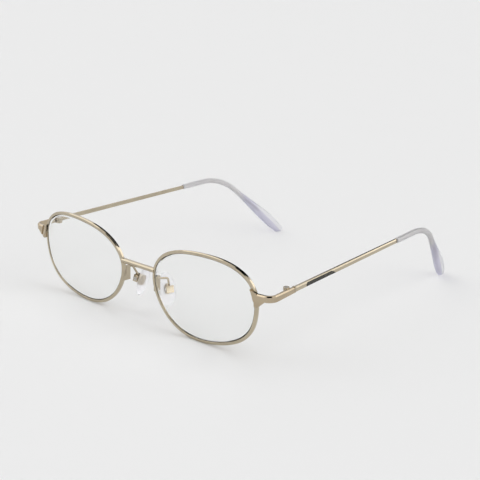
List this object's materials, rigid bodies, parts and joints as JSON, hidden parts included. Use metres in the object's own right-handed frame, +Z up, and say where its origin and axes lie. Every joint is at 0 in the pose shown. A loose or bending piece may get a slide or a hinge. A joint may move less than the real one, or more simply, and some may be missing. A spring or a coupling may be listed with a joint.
{
  "type": "eyeglasses",
  "caption": "Full-rim metal eyeglasses with oval lenses, a straight bar bridge, folding slim temples, clear temple tips and rocking nose pads on wire arms.",
  "frame": {"origin": "on the surface the frame stands on, under the middle of its width and length", "axes": "+X to the wearer's left, +Y from the front towards the temple tips, +Z up"},
  "size_m": [0.1334, 0.141, 0.0354],
  "materials": {
    "gold": "pale champagne gold plating, polished",
    "screw": "plain steel screws",
    "lens": "clear, coated",
    "clear_tip": "clear with a faint grey lavender tint",
    "silicone": "clear soft silicone",
    "inlay": "dark brown-black enamel"
  },
  "bodies": {
    "frame": {"left_rim": "gold", "left_lens": "lens", "left_upper_closing_block": "gold", "left_lower_closing_block": "gold", "left_rim_screw": "screw", "left_endpiece": "gold", "left_front_hinge_leaf": "gold", "left_hinge_screw": "screw", "left_pad_arm": "gold", "left_pad_box": "gold", "left_pad_screw": "screw", "right_rim": "gold", "right_lens": "lens", "right_upper_closing_block": "gold", "right_lower_closing_block": "gold", "right_rim_screw": "screw", "right_endpiece": "gold", "right_front_hinge_leaf": "gold", "right_hinge_screw": "screw", "right_pad_arm": "gold", "right_pad_box": "gold", "right_pad_screw": "screw", "bridge": "gold"},
    "left_temple": {"left_temple_hinge_leaf": "gold", "left_temple": "gold", "left_temple_inlay": "inlay", "left_temple_tip": "clear_tip"},
    "right_temple": {"right_temple_hinge_leaf": "gold", "right_temple": "gold", "right_temple_inlay": "inlay", "right_temple_tip": "clear_tip"},
    "left_pad": {"left_pad_core": "gold", "left_nose_pad": "silicone"},
    "right_pad": {"right_pad_core": "gold", "right_nose_pad": "silicone"}
  },
  "joints": [
    {"name": "left_temple_fold", "type": "hinge", "parent": "frame", "child": "left_temple", "pos_m": [0.06376, -0.05561, 0.02527], "axis": [0.0037, -0.054, 0.9985], "range_deg": [0, 86]},
    {"name": "right_temple_fold", "type": "hinge", "parent": "frame", "child": "right_temple", "pos_m": [-0.06376, -0.05561, 0.02527], "axis": [0.0037, 0.054, -0.9985], "range_deg": [0, 80]},
    {"name": "left_pad_rock", "type": "hinge", "parent": "frame", "child": "left_pad", "pos_m": [0.00962, -0.06038, 0.01351], "axis": [0.342, 0.9397, 0], "range_deg": [-8, 8]},
    {"name": "right_pad_rock", "type": "hinge", "parent": "frame", "child": "right_pad", "pos_m": [-0.00962, -0.06038, 0.01351], "axis": [0.342, -0.9397, 0], "range_deg": [-8, 8]}
  ]
}
